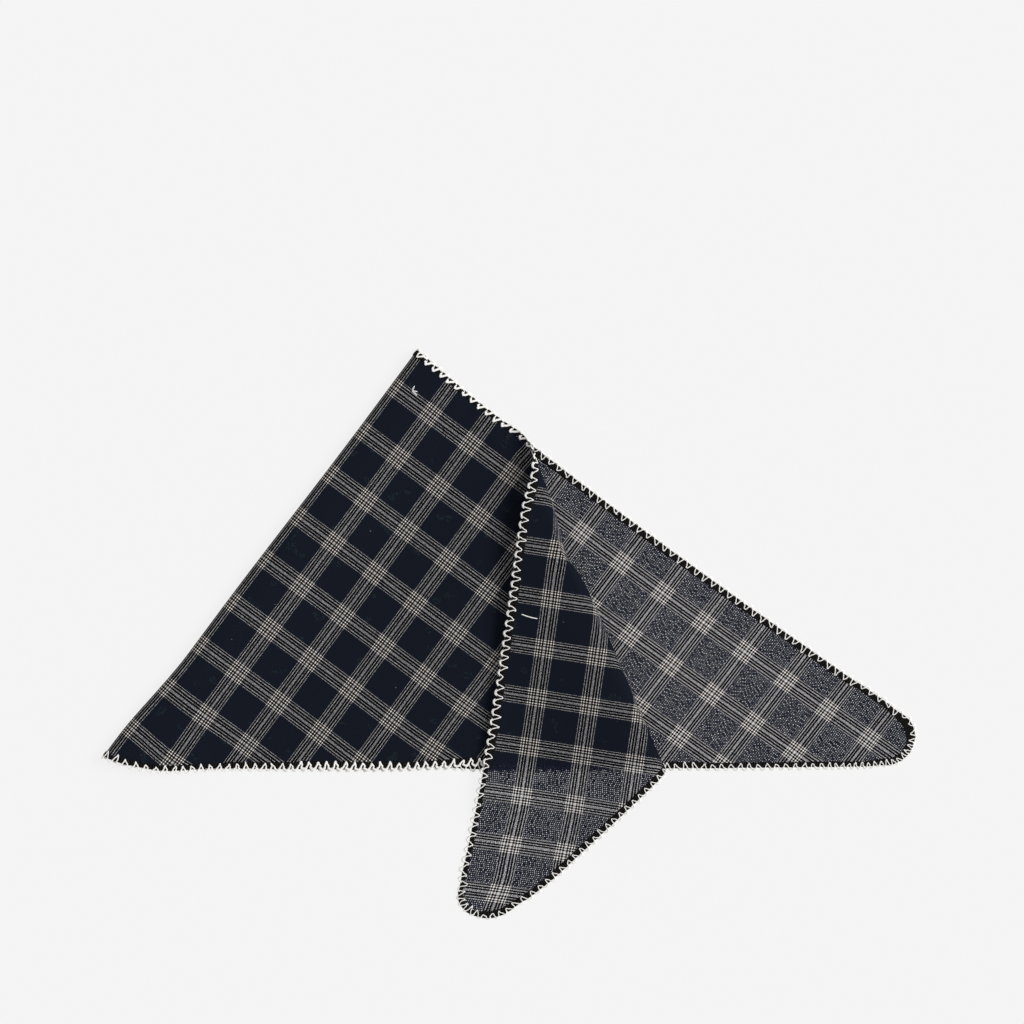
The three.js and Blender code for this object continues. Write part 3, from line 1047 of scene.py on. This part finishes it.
class ClothGraph(Graph):
    """The nodes of the checked cloth, worked out from the flat place of the shaded point."""

    def __init__(self, name):
        super().__init__(name)
        flat = self.node("ShaderNodeUVMap", uv_map=FLAT_MAP).outputs[0]
        split = self.node("ShaderNodeSeparateXYZ", {0: flat})
        v = self.math("MULTIPLY_ADD", split.outputs[1], FLAT_V_SPAN, FLAT_V_START)
        self.u = self.product(self.math("SUBTRACT", split.outputs[0], 0.5), FLAT_U_SPAN)
        self.v = self.math("SUBTRACT", v, self.attribute(DRIFT))
        self.backed = self.attribute(BACKED)
        self.line_u, self.line_v = self.bands(CHECK_LINES)
        self.gaps = self.math("MAXIMUM", *self.bands(gap_lines()))

    def bands(self, lines):
        """How much of the lines there is here, in the bands across u and in those across v."""
        found = []
        for where, (start, repeat) in ((self.u, CHECK_U), (self.v, CHECK_V)):
            share = self.math("DIVIDE", self.math("SUBTRACT", where, start), repeat)
            from_middle = self.math("DIVIDE", self.math("PINGPONG", share, 0.5), BAND_REACH)
            found.append(self.ramp(from_middle, band_stops(lines)))
        return found

    def flat_noise(self, plane, scale):
        return self.noise(self.vector(self.u, self.v, plane), scale, 0.0)

    def woven_light(self):
        """How light the cream threads make the cloth. In plain weave, the two sets of threads take
        turns on top."""
        threads = [self.math("FLOOR", self.math("DIVIDE", w, THREAD)) for w in (self.u, self.v)]
        over = self.math("FLOORED_MODULO", self.math("ADD", *threads), 2.0)
        under = self.math("SUBTRACT", 1.0, over)
        on_top = self.math("ADD", self.product(self.line_u, over), self.product(self.line_v, under))
        speckle = self.flat_noise(UNEVEN_PLANE, UNEVEN_SCALE)
        uneven = self.math("MULTIPLY_ADD", self.math("SUBTRACT", speckle, 0.5), UNEVEN_SPREAD, 1.0)
        # Where the cloth lies on the floor its cream threads are painted lighter and lose less at
        # crossings: painted backlight from the pale floor.
        light = self.between(self.backed, BACKLIT_LINE_LIGHT, LINE_LIGHT)
        crossing = self.product(*self.bands(WHOLE_BAND))
        shade = self.between(self.backed, BACKLIT_CROSSING_SHADE, CROSSING_SHADE)
        return self.product(on_top, light, uneven, self.less(crossing, shade))

    def ground(self):
        """The colour of the dark threads: black in the gaps of the bands, elsewhere with lint."""
        in_patch = self.math("GREATER_THAN", self.flat_noise(PATCH_PLANE, PATCH_SCALE), PATCH_LEAST)
        fibre = self.math("GREATER_THAN", self.flat_noise(LINT_PLANE, LINT_SCALE), LINT_LEAST)
        # Where the cloth lies on the floor its navy is painted lighter and bluer: painted backlight
        # from the pale floor.
        plain = self.mix(self.backed, BACKLIT_NAVY, NAVY)
        return self.mix(self.gaps, self.mix(self.product(in_patch, fibre), plain, LINT), BLACK)

    def colour(self):
        """The colour of the check. Where both sets of threads are cream, no dark shows."""
        dot_inputs = {"Vector": self.vector(self.u, self.v), "Scale": FLECK_SCALE}
        dots = self.node("ShaderNodeTexVoronoi", dot_inputs)
        fleck = self.product(self.math("LESS_THAN", dots.outputs["Distance"], FLECK_SIZE), FLECK_LIGHT)
        light = self.math("MAXIMUM", self.woven_light(), fleck)
        both = self.product(*self.bands(spot_lines()))
        # Where the cloth lies on the floor its cream is painted lighter: painted backlight from the
        # pale floor.
        cream = self.mix(self.backed, BACKLIT_CREAM, CREAM)
        return self.mix(both, self.mix(light, self.ground(), GREY), cream)

    def openness(self):
        """How much light passes between the threads."""
        across = self.math("DIVIDE", self.u, OPENING_WIDTH)
        thread = self.math("FLOOR", across)
        start = self.product(self.chance(self.vector(thread, START_ROW)), START_SPREAD)
        along = self.math("ADD", self.math("DIVIDE", self.v, OPENING_LENGTH), start)
        row = self.math("FLOOR", along)
        by_turns = self.product(self.math("FLOORED_MODULO", row, 2.0), OPEN_BY_TURNS)
        by_chance = self.product(self.chance(self.vector(thread, row)), OPEN_BY_CHANCE)
        inside = [
            self.math("COMPARE", self.math("FRACT", where), 0.5, share / 2.0)
            for where, share in zip((across, along), OPENING_SHARE)
        ]
        lines = self.math("MAXIMUM", self.line_u, self.line_v)
        closed = ((self.gaps, GAP_CLOSED), (lines, LINE_CLOSED), (self.backed, BACKED_CLOSED))
        left = [self.less(where, share) for where, share in closed]
        return self.product(self.math("ADD", by_turns, by_chance), *inside, *left)


def cloth_material():
    g = ClothGraph("thin_checked_cotton")
    alpha = g.math("SUBTRACT", 1.0, g.openness())
    return g.finish(Base_Color=g.colour(), Alpha=alpha, Roughness=0.9, Specular_IOR_Level=0.06)


# Noise breaks up the colours of dark thread and yarn. Its scales are per metre.
DARK_NOISE_SCALE = 900.0
DARK_NOISE_DETAIL = 2.0
HEM_COLOURS = ((0.0006, 0.0006, 0.0007, 1.0), (0.005, 0.0045, 0.0045, 1.0))
OVERLOCK_COLOURS = ((0.003, 0.0028, 0.0028, 1.0), (0.03, 0.027, 0.025, 1.0))
FIBRE_SCALE = 1400.0
FIBRE_DETAIL = 3.0
FIBRE_BUMP = 0.4
FIBRE_BUMP_DEPTH = 0.0002
YARN_COLOURS = ((0.86, 0.84, 0.80, 1.0), (0.97, 0.96, 0.93, 1.0))


def dark_material(name, colours):
    g = Graph(name)
    colour = g.mix(g.noise(g.position(), DARK_NOISE_SCALE, DARK_NOISE_DETAIL), *colours)
    return g.finish(Base_Color=colour, Roughness=0.9, Specular_IOR_Level=0.08)


def yarn_material():
    g = Graph("cream_edging_yarn")
    fibres = g.noise(g.position(), FIBRE_SCALE, FIBRE_DETAIL)
    bump_inputs = {"Strength": FIBRE_BUMP, "Distance": FIBRE_BUMP_DEPTH, "Height": fibres}
    normal = g.node("ShaderNodeBump", bump_inputs).outputs[0]
    colour = g.mix(fibres, *YARN_COLOURS)
    return g.finish(Base_Color=colour, Normal=normal, Roughness=0.85, Specular_IOR_Level=0.2)


# The floor glows, so that it is as even and pale as the photograph's, and takes a little shadow.
FLOOR_GREY = 0.08
FLOOR_GLOW = 0.83


def floor_material():
    return Graph("pale_floor").finish(
        Base_Color=(FLOOR_GREY, FLOOR_GREY, FLOOR_GREY, 1.0),
        Emission_Color=(1.0, 1.0, 1.0, 1.0),
        Emission_Strength=FLOOR_GLOW,
        Roughness=0.9,
        Specular_IOR_Level=0.0,
    )


# ---------------------------------------------------------------- floor, camera and light

FLOOR_REACH = 4.0

# The camera looks straight down, from far enough to see the scarf almost without perspective.
CAMERA_PLACE = (-0.0001, 0.0973)
CAMERA_HEIGHT = 4.0
VIEW_WIDTH = 0.815
SENSOR_WIDTH = 36.0
CLIP_END = 20.0

# A wide soft sun leans in from one side, and the world lights all sides alike.
SUN_STRENGTH = 2.3
SUN_SPREAD = 0.5
SUN_LEAN = math.radians(48.0)
SUN_TURN = math.radians(14.0)
WORLD_STRENGTH = 0.5


def make_floor():
    mesh = bpy.data.meshes.new("floor")
    corners = [(-1, -1), (1, -1), (1, 1), (-1, 1)]
    mesh.from_pydata([(x * FLOOR_REACH, y * FLOOR_REACH, 0.0) for x, y in corners], [], [(0, 1, 2, 3)])
    mesh.materials.append(floor_material())
    return add_to_scene("floor", mesh)


def add_camera():
    data = bpy.data.cameras.new("camera")
    data.sensor_width = SENSOR_WIDTH
    data.lens = SENSOR_WIDTH * CAMERA_HEIGHT / VIEW_WIDTH
    data.clip_end = CLIP_END
    camera = add_to_scene("camera", data)
    camera.location = (*CAMERA_PLACE, CAMERA_HEIGHT)
    bpy.context.scene.camera = camera


def add_light():
    data = bpy.data.lights.new("soft_key", "SUN")
    data.energy = SUN_STRENGTH
    data.angle = SUN_SPREAD
    sun = add_to_scene("soft_key", data)
    sun.rotation_euler = (0.0, SUN_LEAN, SUN_TURN)

    world = bpy.data.worlds.new("studio")
    world.use_nodes = True
    background = world.node_tree.nodes["Background"]
    background.inputs["Color"].default_value = (1.0, 1.0, 1.0, 1.0)
    background.inputs["Strength"].default_value = WORLD_STRENGTH
    bpy.context.scene.world = world
    bpy.context.scene.view_settings.view_transform = "Standard"


# ---------------------------------------------------------------- the scene

yarn = yarn_material()
cloth = make_cloth(cloth_material())
hem = make_hem(dark_material("dark_hem", HEM_COLOURS))
overlock = make_overlock(dark_material("dark_overlock_thread", OVERLOCK_COLOURS))
edging = make_edging(yarn)
thread_marks = make_thread_marks(yarn)

for piece, node, slot in (
    (cloth, "scarf_cloth", "checked_cotton"),
    (hem, "scarf_cloth", "checked_cotton"),
    (overlock, "scarf_cloth", "checked_cotton"),
    *((mark, "scarf_cloth", "edging_yarn") for mark in thread_marks),
    *((strand, "yarn_edging", "edging_yarn") for strand in edging),
):
    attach(piece, "root")
    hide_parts(node)

floor = make_floor()

add_camera()
add_light()
